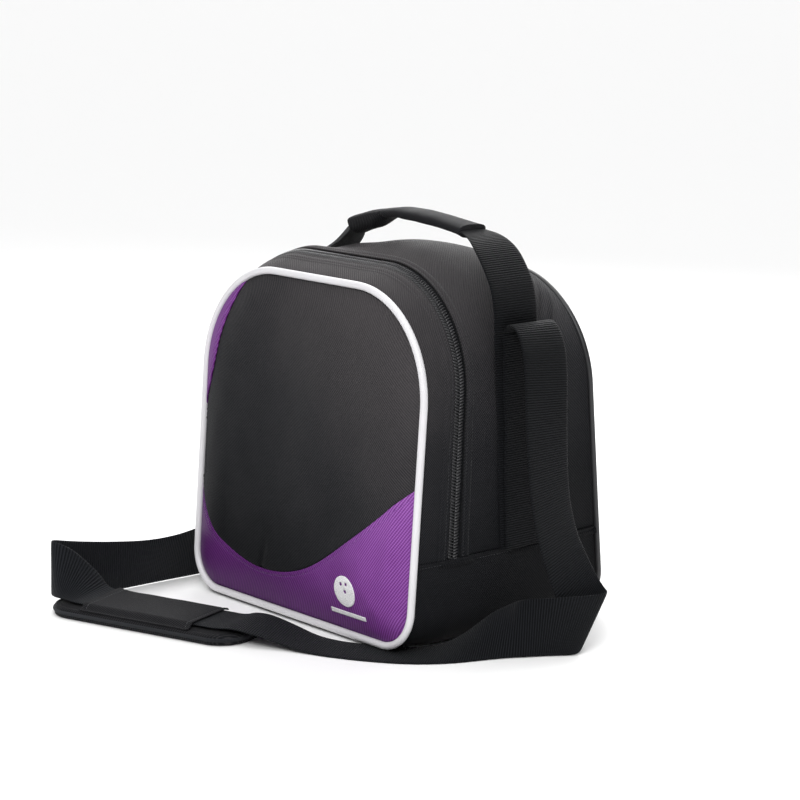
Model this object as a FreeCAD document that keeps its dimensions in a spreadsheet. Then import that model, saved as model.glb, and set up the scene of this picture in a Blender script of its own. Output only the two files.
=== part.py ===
import FreeCAD, Part

import math
import os
from FreeCAD import Placement, Rotation, Vector

# A single-ball bowling tote: a padded fabric shell on a deep base, a front panel that opens forward
# once the zipper is undone, a carry handle over the top and a padded shoulder strap.
# The origin is on the floor under the middle of the shell. The front panel faces -Y, and Z is up.

doc = FreeCAD.newDocument("ball_tote")
sheet = doc.addObject("Spreadsheet::Sheet", "Sizes")

SIZES = {
    "bag_width": 304.0,
    "front_height": 308.0,
    "base_depth": 230.0,
    "front_lean": 25.0,
    "side_bulge": 6.0,
    "crown_rise": 25.0,
    "shoulder_radius": 95.0,
    "shoulder_spread": 20.0,
    "foot_radius": 35.0,
    "foot_lift": 6.3,
    "sole_trim": 0.3,
    "wall": 3.0,
    "seam_height": 81.5,
    "fold_gap": 0.5,
    "piping_radius": 3.3,
    "piping_gap": 1.3,
    "front_dome": 13.0,
    "rear_dome": 13.8,
    "zipper_setback": 43.0,
    "tape_half": 7.0,
    "tape_thick": 1.0,
    "coil_half": 4.6,
    "coil_thick": 2.4,
    "coil_gap": 0.8,
    "webbing_width": 50.0,
    "webbing_thick": 1.6,
    "anchor_height": 270.0,
    "board_thick": 3.0,
    "board_lift": 7.6,
    "cup_outer_radius": 78.0,
    "cup_height": 26.0,
    "ball_radius": 108.0,
    "binding_width": 10.0,
    "grip_wide": 30.0,
    "grip_thick": 11.0,
    "slider_length": 12.0,
    "slider_width": 12.0,
    "pull_length": 30.0,
    "pull_wide": 8.0,
    "pad_length": 207.0,
    "pad_width": 65.0,
    "pad_thick": 10.0,
    "pad_angle": 18.0,
}
for row, (alias, value) in enumerate(SIZES.items(), start=1):
    sheet.set(f"A{row}", alias)
    sheet.set(f"B{row}", str(value))
    sheet.setAlias(f"B{row}", alias)
doc.recompute()


def size(alias):
    """A driving dimension, read back from the sheet."""
    return float(getattr(sheet, alias))


half_width = size("bag_width") / 2
half_depth = size("base_depth") / 2
wall = size("wall")
seam_height = size("seam_height")
webbing_thick = size("webbing_thick")
nodes = []


def add_shape(label, shape, placement=Placement()):
    """One sub-part whose shape is worked out in code."""
    piece = doc.addObject("Part::Feature", label)
    piece.Label = label
    piece.Shape = shape
    piece.Placement = placement
    nodes.append(piece)
    return piece


def bind(piece, **expressions):
    """Ties properties of a sub-part to the sheet."""
    for name, expression in expressions.items():
        piece.setExpression(name, expression)


# ---------------------------------------------------------------- the shell's outlines


def outline(setback, inset=0.0):
    """The shell's outline, a rounded rectangle on a leaning plane, setback behind the front seam.

    The shell swells from its front seam to its middle and shrinks again to the rear seam.
    """
    share = setback / half_depth
    swell = math.sin(share * math.pi / 2)
    half = half_width + size("side_bulge") * swell - inset
    top = size("front_height") + size("crown_rise") * swell - inset
    rise = size("foot_lift") * (1 - min(1.0, setback / size("zipper_setback")))
    low = rise - size("sole_trim") + inset
    shoulder = size("shoulder_radius") + size("shoulder_spread") * max(0.0, swell) ** 2 - inset
    foot = max(size("foot_radius") - inset, 10.0)
    tilt = -math.degrees(math.atan2(size("front_lean") * (1 - share), size("front_height")))
    cut = math.sqrt(0.5)
    corners = [
        (-half, low, foot, -1, -1),
        (half, low, foot, 1, -1),
        (half, top, shoulder, 1, 1),
        (-half, top, shoulder, -1, 1),
    ]
    runs = []
    for x, z, radius, side, rise in corners:
        centre = Vector(x - side * radius, 0, z - rise * radius)
        flat_end = centre + Vector(0, 0, rise * radius)
        side_end = centre + Vector(side * radius, 0, 0)
        middle = centre + Vector(side * cut * radius, 0, rise * cut * radius)
        ends = (side_end, flat_end) if side * rise > 0 else (flat_end, side_end)
        runs.append((ends[0], middle, ends[1]))
    edges = []
    for index, (first, middle, last) in enumerate(runs):
        edges.append(Part.Arc(first, middle, last).toShape())
        edges.append(Part.LineSegment(last, runs[(index + 1) % 4][0]).toShape())
    wire = Part.Wire(edges)
    wire.Placement = Placement(Vector(0, setback - half_depth, 0), Rotation(Vector(1, 0, 0), tilt))
    return wire


def mirrored(shape):
    """The same shape on the rear half of the shell."""
    return shape.mirror(Vector(0, 0, 0), Vector(0, 1, 0))


def loft(wires):
    return Part.makeLoft(wires, True, True)


def band(setbacks, inset=0.0, thick=wall, mirror_too=False):
    """A hollow ring of the shell that runs through the given setbacks."""
    outer = [outline(setback, inset) for setback in setbacks]
    inner = [outline(setback, inset + thick) for setback in setbacks]
    if mirror_too:
        outer += [mirrored(outline(setback, inset)) for setback in reversed(setbacks[:-1])]
        inner += [mirrored(outline(setback, inset + thick)) for setback in reversed(setbacks[:-1])]
    overrun = 1.0
    first, last = inner[0].copy(), inner[-1].copy()
    first.translate(Vector(0, -overrun, 0))
    last.translate(Vector(0, overrun, 0))
    return loft(outer).cut(loft([first] + inner[1:-1] + [last]))


FAR = 1000.0


def above(height):
    return Part.makeBox(2 * FAR, 2 * FAR, FAR, Vector(-FAR, -FAR, height))


def below(height):
    return Part.makeBox(2 * FAR, 2 * FAR, FAR, Vector(-FAR, -FAR, height - FAR))


flap_low = seam_height + size("fold_gap")
zipper = size("zipper_setback")
tape_start = zipper - size("tape_half")
tape_end = zipper + size("tape_half")
panel_setback = size("piping_radius") + size("piping_gap")

# ---------------------------------------------------------------- gusset, base and zipper

front_band = band([panel_setback, tape_start]).common(above(flap_low))
add_shape("front_gusset", front_band)

middle_stations = [tape_end, 80.0, half_depth]
rear_stations = [panel_setback, 40.0, 80.0, half_depth]
rear_wires = [outline(setback) for setback in middle_stations]
rear_wires += [mirrored(outline(setback)) for setback in reversed(rear_stations[:-1])]
rear_inner = [outline(setback, wall) for setback in middle_stations]
rear_inner += [mirrored(outline(setback, wall)) for setback in reversed(rear_stations[:-1])]
rear_inner[0].translate(Vector(0, -1, 0))
rear_inner[-1].translate(Vector(0, 1, 0))
rear_band = loft(rear_wires).cut(loft(rear_inner)).common(above(seam_height))
add_shape("rear_gusset", rear_band)

base_wrap = band([panel_setback, zipper, 80.0, half_depth], mirror_too=True)
add_shape("base_panel", base_wrap.common(below(seam_height)).common(above(0)))

tape_inset = 1.5
coil_inset = tape_inset - size("coil_thick") - 0.4
half_gap = size("coil_gap")
for side, low_edge, first, last in (
    ("front", flap_low, tape_start, zipper - half_gap),
    ("rear", seam_height, zipper + half_gap, tape_end),
):
    tape = band([first, last], tape_inset, size("tape_thick")).common(above(low_edge))
    add_shape(f"zipper_tape_{side}", tape)
    inner_edge = zipper - half_gap - size("coil_half") if side == "front" else zipper + half_gap
    coil = band([inner_edge, inner_edge + size("coil_half")], coil_inset, size("coil_thick"))
    add_shape(f"zipper_coil_{side}", coil.common(above(low_edge)))

# ---------------------------------------------------------------- front and rear panels


def dome(setback, height, shift):
    """A pillow-shaped plug on the front seam's outline, moved back by shift."""
    steps = [(0.5, 0.0), (18.0, 0.62), (45.0, 1.0)]
    wires = [outline(wall, size("piping_radius") + 0.5)]
    for inset, rise in steps:
        wires.append(outline(-rise * height, size("piping_radius") + inset))
    for wire in wires:
        wire.translate(Vector(0, shift, 0))
    return loft(wires)


def panel_shell(height):
    """A padded panel of even thickness, domed outwards."""
    return dome(0, height, 0).cut(dome(0, height, wall))


def prism(points):
    """An upright cutter, seen from the front, whose edge is a smooth curve between straight ends."""
    curve = Part.BSplineCurve()
    curve.interpolate([Vector(x, -FAR / 2, z) for x, z in points["curve"]])
    corners = [Vector(x, -FAR / 2, z) for x, z in points["corners"]]
    chain = [Vector(*points_end(points, -1))] + corners + [Vector(*points_end(points, 0))]
    edges = [curve.toShape()]
    for start, end in zip(chain, chain[1:]):
        edges.append(Part.LineSegment(start, end).toShape())
    return Part.Face(Part.Wire(edges)).extrude(Vector(0, FAR, 0))


def points_end(points, index):
    x, z = points["curve"][index]
    return x, -FAR / 2, z


# Where the black centre panel meets the coloured accents, from the left edge to the right edge.
LOWER_ACCENT = {
    "curve": [(-152, 104), (-128, 75), (-98, 55), (-40, 43), (24, 56), (95, 101), (153, 149)],
    "corners": [(200, 149), (200, -40), (-200, -40), (-200, 104)],
}
UPPER_ACCENT = {
    "curve": [(-93, 312), (-104, 285), (-119, 248), (-130, 210), (-152, 168)],
    "corners": [(-200, 168), (-200, 330), (-93, 330)],
}
lower_accent = prism(LOWER_ACCENT)
upper_accent = prism(UPPER_ACCENT)
front = panel_shell(size("front_dome"))
upper_front = front.common(above(flap_low))
lower_front = front.common(below(seam_height))
add_shape("front_panel", upper_front.cut(lower_accent).cut(upper_accent))
add_shape("accent_wings", upper_front.common(lower_accent))
add_shape("upper_accent", upper_front.common(upper_accent))
add_shape("front_panel_foot", lower_front.cut(lower_accent))
add_shape("lower_accent", lower_front.common(lower_accent))
add_shape("rear_panel", mirrored(panel_shell(size("rear_dome"))))


def badge_layer(thick):
    """The embroidered badge's threads, a thin layer on the domed lower panel."""
    skin = dome(0, size("front_dome"), -thick).cut(dome(0, size("front_dome"), 0))
    ball = Part.makeCylinder(14, FAR, Vector(82, -FAR / 2, 48), Vector(0, 1, 0))
    for x, z in ((78, 54), (85, 55), (83, 48)):
        ball = ball.cut(Part.makeCylinder(1.8, FAR, Vector(x, -FAR / 2, z), Vector(0, 1, 0)))
    lane = Part.makeBox(46, FAR, 4, Vector(59, -FAR / 2, 25))
    return skin.common(ball.fuse(lane))


add_shape("embroidered_badge", badge_layer(0.8))

# ---------------------------------------------------------------- piping and inside bindings


def tube_along(wire, radius):
    """A round cord that follows a closed outline."""
    start = wire.Edges[0].firstVertex(True).Point
    tangent = wire.Edges[0].tangentAt(wire.Edges[0].FirstParameter)
    profile = Part.Wire(Part.makeCircle(radius, start, tangent))
    return wire.makePipeShell([profile], True, False)


piping = tube_along(outline(0), size("piping_radius"))
add_shape("front_piping", piping.common(above(flap_low)))
add_shape("front_piping_foot", piping.common(below(seam_height)))
add_shape("rear_piping", mirrored(piping))

binding_start = panel_setback + 0.6
binding_end = binding_start + size("binding_width")
binding = band([binding_start, binding_end], wall + 0.6, 1.2)
add_shape("front_binding", binding.common(above(flap_low)))
add_shape("rear_binding", mirrored(binding).common(above(seam_height)))

# ---------------------------------------------------------------- inside the base

board = doc.addObject("PartDesign::Body", "base_board")
board.Label = "base_board"
board_plane = [item for item in board.Origin.OriginFeatures if item.Role == "XY_Plane"][0]
board_sketch = board.newObject("Sketcher::SketchObject", "board_outline")
board_sketch.AttachmentSupport = [(board_plane, "")]
board_sketch.MapMode = "FlatFace"


def rounded_rectangle(sketch, half_x, half_y, radius):
    """Four lines and four arcs about the sketch's origin."""
    quarter = math.pi / 2
    for x, y, start in ((1, 1, 0), (-1, 1, 1), (-1, -1, 2), (1, -1, 3)):
        centre = Vector(x * (half_x - radius), y * (half_y - radius), 0)
        circle = Part.Circle(centre, Vector(0, 0, 1), radius)
        sketch.addGeometry(Part.ArcOfCircle(circle, start * quarter, (start + 1) * quarter), False)
    straight_x, straight_y = half_x - radius, half_y - radius
    for ends in (
        ((half_x, -straight_y), (half_x, straight_y)),
        ((straight_x, half_y), (-straight_x, half_y)),
        ((-half_x, straight_y), (-half_x, -straight_y)),
        ((-straight_x, -half_y), (straight_x, -half_y)),
    ):
        start, end = (Vector(x, y, 0) for x, y in ends)
        sketch.addGeometry(Part.LineSegment(start, end), False)


foot_flat = half_width - size("foot_radius")
rounded_rectangle(board_sketch, foot_flat + 6, half_depth - 14, 20)
board_pad = board.newObject("PartDesign::Pad", "board_pad")
board_pad.Profile = board_sketch
bind(board_pad, Length="Sizes.board_thick")
board.Placement = Placement(Vector(0, 0, size("board_lift")), Rotation())
nodes.append(board)

cup_low = size("board_lift") + size("board_thick") + 0.3
cup_block = doc.addObject("Part::Cylinder", "cup_block")
cup_block.Placement = Placement(Vector(0, 0, cup_low), Rotation())
bind(cup_block, Radius="Sizes.cup_outer_radius", Height="Sizes.cup_height")
ball_space = doc.addObject("Part::Sphere", "ball_space")
ball_space.Placement = Placement(Vector(0, 0, cup_low + size("ball_radius") - 12), Rotation())
bind(ball_space, Radius="Sizes.ball_radius")
cup_bore = doc.addObject("Part::Cylinder", "cup_bore")
cup_bore.Placement = Placement(Vector(0, 0, cup_low - 5), Rotation())
bind(cup_bore, Radius="Sizes.cup_outer_radius - 42", Height="Sizes.cup_height + 10")
cup_hollow = doc.addObject("Part::Fuse", "cup_hollow")
cup_hollow.Base = ball_space
cup_hollow.Tool = cup_bore
cup = doc.addObject("Part::Cut", "ball_cup")
cup.Label = "ball_cup"
cup.Base = cup_block
cup.Tool = cup_hollow
nodes.append(cup)

# ---------------------------------------------------------------- sewn webbing on the sides


def side_strip(gap, y_low, y_high):
    """Webbing sewn flat up a side of the shell, from the base seam to the anchor."""
    width = size("webbing_width")
    side = half_width + size("side_bulge") + gap
    sections = []
    for height, centre in ((seam_height - 1, y_low), (size("anchor_height"), y_high)):
        corners = [
            Vector(side, centre - width / 2, height),
            Vector(side + webbing_thick, centre - width / 2, height),
            Vector(side + webbing_thick, centre + width / 2, height),
            Vector(side, centre + width / 2, height),
        ]
        sections.append(Part.makePolygon(corners + corners[:1]))
    return loft(sections)


def both_sides(name, shape):
    add_shape(f"{name}_right", shape)
    add_shape(f"{name}_left", shape.mirror(Vector(0, 0, 0), Vector(1, 0, 0)))


both_sides("handle_leg", side_strip(0.2, 10, 0))
both_sides("strap_leg", side_strip(0.4 + webbing_thick, 14, 8))

# ---------------------------------------------------------------- carry handle


def ribbon(sections, thick):
    """A flat strap through hand-chosen cross lines, each a pair of edge points."""
    middles = [(Vector(*near) + Vector(*far)) * 0.5 for near, far in sections]
    rings = []
    for index, (near, far) in enumerate(sections):
        before = middles[max(0, index - 1)]
        after = middles[min(len(middles) - 1, index + 1)]
        across = (Vector(*far) - Vector(*near)).normalize()
        normal = across.cross((after - before).normalize()).normalize() * (thick / 2)
        rings.append(
            [
                Vector(*near) - normal,
                Vector(*near) + normal,
                Vector(*far) + normal,
                Vector(*far) - normal,
            ]
        )
    triangles = []
    for ring, following in zip(rings, rings[1:]):
        for corner in range(4):
            turn = (corner + 1) % 4
            triangles.append((ring[corner], following[corner], following[turn]))
            triangles.append((ring[corner], following[turn], ring[turn]))
    for ring in (rings[0], rings[-1]):
        triangles.append((ring[0], ring[1], ring[2]))
        triangles.append((ring[0], ring[2], ring[3]))
    faces = [Part.Face(Part.makePolygon([*corners, corners[0]])) for corners in triangles]
    solid = Part.Solid(Part.makeShell(faces))
    if solid.Volume < 0:
        solid.reverse()
    return solid


# The handle's middle line from right to left: x, y, z and half the webbing's width. The left
# end sinks backwards on to the crown.
HANDLE_LINE = [
    (159, 0, 270.6, 1.5), (159, 0, 279, 25), (158.5, 0, 290, 25), (154.5, 0, 308, 25),
    (146, 0, 323, 25), (134, 0, 338, 25), (119, 0, 348, 19), (108, 0, 350.5, 12),
    (104, 0, 351, 12), (90, 0, 353, 12), (62, 0, 356.5, 12), (35, 0, 358.5, 12),
    (10, 0, 358.5, 12), (-22, 0, 353.5, 12), (-52, 0, 345, 12), (-56, 1, 343.2, 12),
    (-65, 8, 338.5, 18), (-78, 16, 332, 23), (-98, 19, 323.5, 25), (-119, 16, 312, 25),
    (-139, 9, 299, 25), (-153, 3, 288, 25), (-159, 0, 279, 25), (-159, 0, 270.6, 1.5),
]
GRIP_LINE = HANDLE_LINE[8:15]
handle_sections = [((x, y - reach, z), (x, y + reach, z)) for x, y, z, reach in HANDLE_LINE]
add_shape("handle_webbing", ribbon(handle_sections, webbing_thick))


def grip_sleeve():
    """The padded fabric tube round the handle's middle, with the webbing's slot through it."""
    outer, inner = [], []
    for index, (x, _, z, _) in enumerate(GRIP_LINE):
        before = GRIP_LINE[max(0, index - 1)]
        after = GRIP_LINE[min(len(GRIP_LINE) - 1, index + 1)]
        angle = math.degrees(math.atan2(before[2] - after[2], before[0] - after[0]))
        turn = Rotation(Vector(0, 1, 0), -angle)
        for wires, wide, thick, corner in (
            (outer, size("grip_wide"), size("grip_thick"), size("grip_thick") * 0.45),
            (inner, size("grip_wide") - 5.0, webbing_thick + 0.8, 0.2),
        ):
            half_wide, half_thick = wide / 2, thick / 2
            points = []
            for y, height in ((1, 1), (-1, 1), (-1, -1), (1, -1)):
                points.append(Vector(0, y * half_wide, height * (half_thick - corner)))
                points.append(Vector(0, y * (half_wide - corner), height * half_thick))
            ring = [points[0], points[1], points[3], points[2]]
            ring += [points[4], points[5], points[7], points[6]]
            wire = Part.makePolygon(ring + ring[:1])
            wire.Placement = Placement(Vector(x, 0, z), turn)
            wires.append(wire)
    return loft(outer).cut(loft(inner))


add_shape("handle_grip", grip_sleeve())

# ---------------------------------------------------------------- zipper slider and pull

run_lean = math.atan2(
    size("front_lean") * (1 - zipper / half_depth), size("front_height")
)
zipper_half = half_width + size("side_bulge") * math.sin(zipper / half_depth * math.pi / 2)
coil_face = zipper_half - coil_inset
slider_height = 91.0
slider_y = zipper - half_depth + slider_height * math.tan(run_lean)
slider_tilt = Rotation(Vector(1, 0, 0), -math.degrees(run_lean))
slider_place = Placement(Vector(-coil_face, slider_y, slider_height), slider_tilt)


def slider_shape():
    """Outer and inner plates joined by a thin web between the coils, with a bail for the pull."""
    long, wide = size("slider_length"), size("slider_width")
    plate = 1.4
    under = coil_face - (zipper_half - tape_inset - size("tape_thick")) + 0.75
    face = -0.7 - plate
    outer = Part.makeBox(plate, wide, long, Vector(face, -wide / 2, -long / 2))
    inner = Part.makeBox(plate, wide - 1, long, Vector(under, -(wide - 1) / 2, -long / 2))
    web_long = long * 0.4
    web = Part.makeBox(under + 1.2, 0.7, web_long, Vector(-1.0, -0.35, long / 2 - web_long))
    bail = Part.makeBox(3.2, 2.0, 8, Vector(face - 3.0, -1.0, -4))
    eye = Part.makeBox(2.2, 4.0, 6, Vector(face - 2.2, -2.0, -3))
    return outer.fuse([inner, web, bail.cut(eye)]).removeSplitter()


add_shape("zipper_slider", slider_shape(), slider_place)


def pull_shape():
    """A flat tab whose cross bar turns inside the slider's bail."""
    long, wide = size("pull_length"), size("pull_wide")
    tab = Part.makeBox(1.2, wide, long, Vector(-0.6, -wide / 2, -long + 0.6))
    eye = Part.makeBox(3, wide - 3.2, 9, Vector(-1.5, -(wide - 3.2) / 2, -9.7))
    end_hole = Part.makeCylinder(1.5, 3, Vector(-1.5, 0, -long + 4), Vector(1, 0, 0))
    bar = Part.makeCylinder(0.7, wide, Vector(0, -wide / 2, 0), Vector(0, 1, 0))
    return tab.cut(eye).cut(end_hole).fuse(bar).removeSplitter()


pull_centre = slider_place.multVec(Vector(-0.7 - 1.4 - 1.2, 0, -1.9))
add_shape("zipper_pull", pull_shape(), Placement(pull_centre, slider_tilt))

# ---------------------------------------------------------------- shoulder strap and its pad

# Cross lines of the strap from the right anchor to the left one: near or lower edge, far or upper edge.
STRAP_ROUTE = [
    ((161.2, -17, 270.2), (161.2, 33, 270.2)),
    ((163.5, -17, 275), (163.5, 33, 275)),
    ((169, -18, 278), (169, 33, 277.5)),
    ((176, -18, 276), (176, 32, 275)),
    ((182, -18, 269), (183, 32, 266)),
    ((187, -18, 256), (188, 32, 252)),
    ((189.5, -18, 235), (190, 32, 230)),
    ((191, -18, 202), (190, 32, 199)),
    ((194, -18, 160), (191, 32, 160)),
    ((200, -18, 120), (194, 32, 126)),
    ((209, -16, 88), (203, 32, 98)),
    ((217, -10, 58), (214, 35, 77)),
    ((223, -1, 29), (224, 37, 61)),
    ((228, 7, 8), (231, 38, 53)),
    ((234, 9, 2), (238, 37, 50)),
    ((234, 2, 0), (239, 29, 50)),
    ((227, -9, 0), (231, 7, 50)),
    ((219, -20, 0), (219, -14, 50)),
    ((208, -38, 0), (201, -30, 48)),
    ((199, -53, 0), (187, -30, 41)),
    ((192, -70, 0), (172, -40, 31)),
    ((183, -92, 0), (161, -56, 15)),
    ((171, -110, 0), (149, -71.5, 5)),
    ((157, -125, 0), (133, -88.5, 1)),
    ((140, -138, 0), (115.5, -101.5, 0.2)),
    ((121, -150, 0), (95, -112.5, 0.2)),
    ((100, -161, 0), (75.5, -124, 0.3)),
    ((77, -171, 1), (51.5, -131.5, 1.5)),
    ((57, -181, 6), (29, -137, 7)),
    ((38, -194, 12), (12, -150.5, 15.5)),
    ((19, -201, 14), (-3, -156, 15.5)),
    ((4, -207.5, 12), (-12.5, -160.5, 12)),
    ((-12.6, -212.6, 12), (-28, -165, 12)),
    ((-79.2, -234.2, 12), (-94.6, -186.6, 12)),
    ((-141.9, -254.4, 12), (-157.4, -206.8, 12)),
    ((-149, -256.5, 12.8), (-161.5, -213.5, 26)),
    ((-156, -258.5, 13.2), (-166, -228, 43)),
    ((-164, -260.5, 13.4), (-169, -242, 56)),
    ((-171, -260, 13.2), (-174, -252, 61)),
    ((-178, -257, 12.6), (-180, -255, 62)),
    ((-185, -248, 11), (-185, -248, 61)),
    ((-188, -230, 7), (-186, -232, 57)),
    ((-190, -208, 3), (-186, -212, 53)),
    ((-190, -182, 0), (-183, -189, 49.5)),
    ((-189, -153, 0), (-172, -155, 47)),
    ((-188, -122, 0), (-171, -122, 47)),
    ((-186, -92, 0), (-175, -95, 49)),
    ((-187, -62, 0), (-180, -66, 49.5)),
    ((-191, -36, 0), (-186, -38, 50)),
    ((-196, -14, 0), (-194, -4, 50)),
    ((-200, 2, 0.5), (-200, 30, 50)),
    ((-198, 6, 4), (-199, 37, 52)),
    ((-193, 0, 28), (-194, 37, 64)),
    ((-190, -9, 58), (-191, 34, 82)),
    ((-188, -15, 90), (-189, 32, 101)),
    ((-187.5, -18, 125), (-188, 32, 129)),
    ((-187.5, -18, 165), (-188, 32, 166)),
    ((-188, -18, 205), (-188, 32, 204)),
    ((-187.5, -18, 236), (-188, 32, 234)),
    ((-185, -18, 257), (-186, 32, 255)),
    ((-181, -18, 269), (-182, 32, 267)),
    ((-175, -18, 276), (-175, 32, 275)),
    ((-169, -18, 278), (-169, 33, 277.5)),
    ((-163.5, -17, 275), (-163.5, 33, 275)),
    ((-161.2, -17, 270.2), (-161.2, 33, 270.2)),
]
# The strap lies on the floor with its lower face, so its middle rides half a thickness higher.
half_thick = webbing_thick / 2
lifted_route = []
for near, far in STRAP_ROUTE:
    lifted_route.append([(x, y, z + half_thick) for x, y, z in (near, far)])
strap = ribbon(lifted_route, webbing_thick)
add_shape("shoulder_strap", strap)
strap_middle = [(Vector(*near) + Vector(*far)) * 0.5 for near, far in lifted_route]
strap_length = sum((b - a).Length for a, b in zip(strap_middle, strap_middle[1:]))
strap_section = size("webbing_width") * webbing_thick

pad_place = Placement(Vector(-79, -211, 0.3), Rotation(Vector(0, 0, 1), size("pad_angle")))


def pad_body(label, length, width, low, thick, softness):
    """A flat pad with round ends, drawn as one closed sketch and padded upwards."""
    body = doc.addObject("PartDesign::Body", label)
    body.Label = label
    plane = [item for item in body.Origin.OriginFeatures if item.Role == "XY_Plane"][0]
    sketch = body.newObject("Sketcher::SketchObject", f"{label}_outline")
    sketch.AttachmentSupport = [(plane, "")]
    sketch.MapMode = "FlatFace"
    rounded_rectangle(sketch, length / 2, width / 2, width * 0.42)
    pad = body.newObject("PartDesign::Pad", f"{label}_pad")
    pad.Profile = sketch
    pad.Length = thick
    doc.recompute()
    soft = body.newObject("PartDesign::Fillet", f"{label}_edges")
    rims = [f"Edge{i + 1}" for i, edge in enumerate(pad.Shape.Edges) if is_rim(edge)]
    soft.Base = (pad, rims)
    soft.Radius = softness
    body.Placement = pad_place.multiply(Placement(Vector(0, 0, low), Rotation()))
    nodes.append(body)
    return body


def is_rim(edge):
    """True for an edge that lies level all round."""
    box = edge.BoundBox
    return box.ZLength < 1e-6


pad_body("shoulder_pad", size("pad_length"), size("pad_width"), 0.0, size("pad_thick"), 4.0)


def pad_sleeve():
    """The fabric cover that holds the strap on the pad: a flat arch open at both ends."""
    long, wide, sheet_thick, seam = 123.0, size("pad_width") - 1, 1.0, 3.0
    start = -long / 2 - 4.5
    low = size("pad_thick") + 0.2
    rise = webbing_thick + 2.4
    cover = Part.makeBox(long, wide, rise + sheet_thick, Vector(start, -wide / 2, low))
    channel_size = (long + 2, wide - 2 * seam, rise)
    return cover.cut(Part.makeBox(*channel_size, Vector(start - 1, seam - wide / 2, low)))


add_shape("pad_sleeve", pad_sleeve(), pad_place)


def pad_rim():
    """The binding tape sewn round the pad's edge."""
    long, wide = size("pad_length") + 2.4, size("pad_width") + 2.4
    height, inset = 4.0, 2.2
    rings = []
    for shrink in (0.0, inset):
        half_x, half_y = long / 2 - shrink, wide / 2 - shrink
        radius = size("pad_width") * 0.42 + 1.2 - shrink
        box = Part.makeBox(2 * half_x, 2 * half_y, height, Vector(-half_x, -half_y, 3.0))
        upright = [edge for edge in box.Edges if edge.BoundBox.ZLength > height / 2]
        rings.append(box.makeFillet(radius, upright))
    core = doc.getObject("shoulder_pad").Shape.copy()
    core.Placement = Placement()
    return rings[0].cut(rings[1]).cut(core)


doc.recompute()
add_shape("pad_binding", pad_rim(), pad_place)

# ---------------------------------------------------------------- check and write

doc.recompute()
for item in doc.Objects:
    if "Invalid" in item.State or "Error" in item.State:
        raise RuntimeError(f"{item.Label} failed: {item.State}")
os.makedirs("parts", exist_ok=True)
for node in nodes:
    if node.Shape.isNull() or not node.Shape.isValid() or not node.Shape.Solids:
        raise RuntimeError(f"{node.Label} has no valid solid")
    node.Shape.exportStep(f"parts/{node.Label}.step")
    print(f"{node.Label}: {node.Shape.Volume:.0f} mm3, {len(node.Shape.Solids)} solid(s)")
print(f"strap: {strap_length:.0f} mm along its middle, volume / (section * length) =",
      round(strap.Volume / (strap_section * strap_length), 3))
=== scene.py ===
import math

import bpy
from mathutils import Matrix, Vector, noise


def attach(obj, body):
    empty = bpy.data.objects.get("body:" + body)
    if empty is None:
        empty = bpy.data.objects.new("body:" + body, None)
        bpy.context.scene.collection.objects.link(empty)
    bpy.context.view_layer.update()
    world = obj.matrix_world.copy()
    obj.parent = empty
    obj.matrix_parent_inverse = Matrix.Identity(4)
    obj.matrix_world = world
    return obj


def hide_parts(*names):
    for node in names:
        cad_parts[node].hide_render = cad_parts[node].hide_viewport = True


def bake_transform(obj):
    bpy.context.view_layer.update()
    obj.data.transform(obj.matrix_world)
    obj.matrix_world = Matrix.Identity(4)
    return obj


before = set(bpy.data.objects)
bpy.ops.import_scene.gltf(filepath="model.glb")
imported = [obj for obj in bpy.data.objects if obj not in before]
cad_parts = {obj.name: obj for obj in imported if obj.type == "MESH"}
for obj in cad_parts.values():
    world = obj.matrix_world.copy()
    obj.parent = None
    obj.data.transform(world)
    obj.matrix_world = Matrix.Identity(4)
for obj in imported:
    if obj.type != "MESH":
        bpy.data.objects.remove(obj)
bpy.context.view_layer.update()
MM = 0.001

# ---- small mesh helpers


def add_object(name, data):
    thing = bpy.data.objects.new(name, data)
    bpy.context.scene.collection.objects.link(thing)
    return thing


def new_piece(name, points, faces, uvs=None):
    """A mesh object from points in millimetres; uvs are one pair in metres for each point."""
    mesh = bpy.data.meshes.new(name)
    mesh.from_pydata([Vector(p) * MM for p in points], [], faces)
    if uvs:
        layer = mesh.uv_layers.new(name="UVMap")
        for loop in mesh.loops:
            layer.data[loop.index].uv = uvs[loop.vertex_index]
    mesh.polygons.foreach_set("use_smooth", [True] * len(mesh.polygons))
    mesh.update()
    return add_object(name, mesh)


def grid_faces(rows, columns, flip):
    faces = []
    for r in range(rows - 1):
        for c in range(columns - 1):
            a, b = r * columns + c, (r + 1) * columns + c
            face = (a, b, b + 1, a + 1)
            faces.append(face[::-1] if flip else face)
    return faces


def ring_faces(rings, sides, outwards=True, closed=False, offset=0):
    """Faces between successive rings of points, with a cap on each end unless it is closed."""
    faces = []
    for r in range(rings if closed else rings - 1):
        a, b = offset + r * sides, offset + (r + 1) % rings * sides
        for k in range(sides):
            n = (k + 1) % sides
            faces.append((a + k, a + n, b + n, b + k) if outwards else (a + k, b + k, b + n, a + n))
    if not closed:
        first = tuple(range(offset, offset + sides))
        last = tuple(range(offset + (rings - 1) * sides, offset + rings * sides))
        faces += [first[::-1], last] if outwards else [first, last[::-1]]
    return faces


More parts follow.
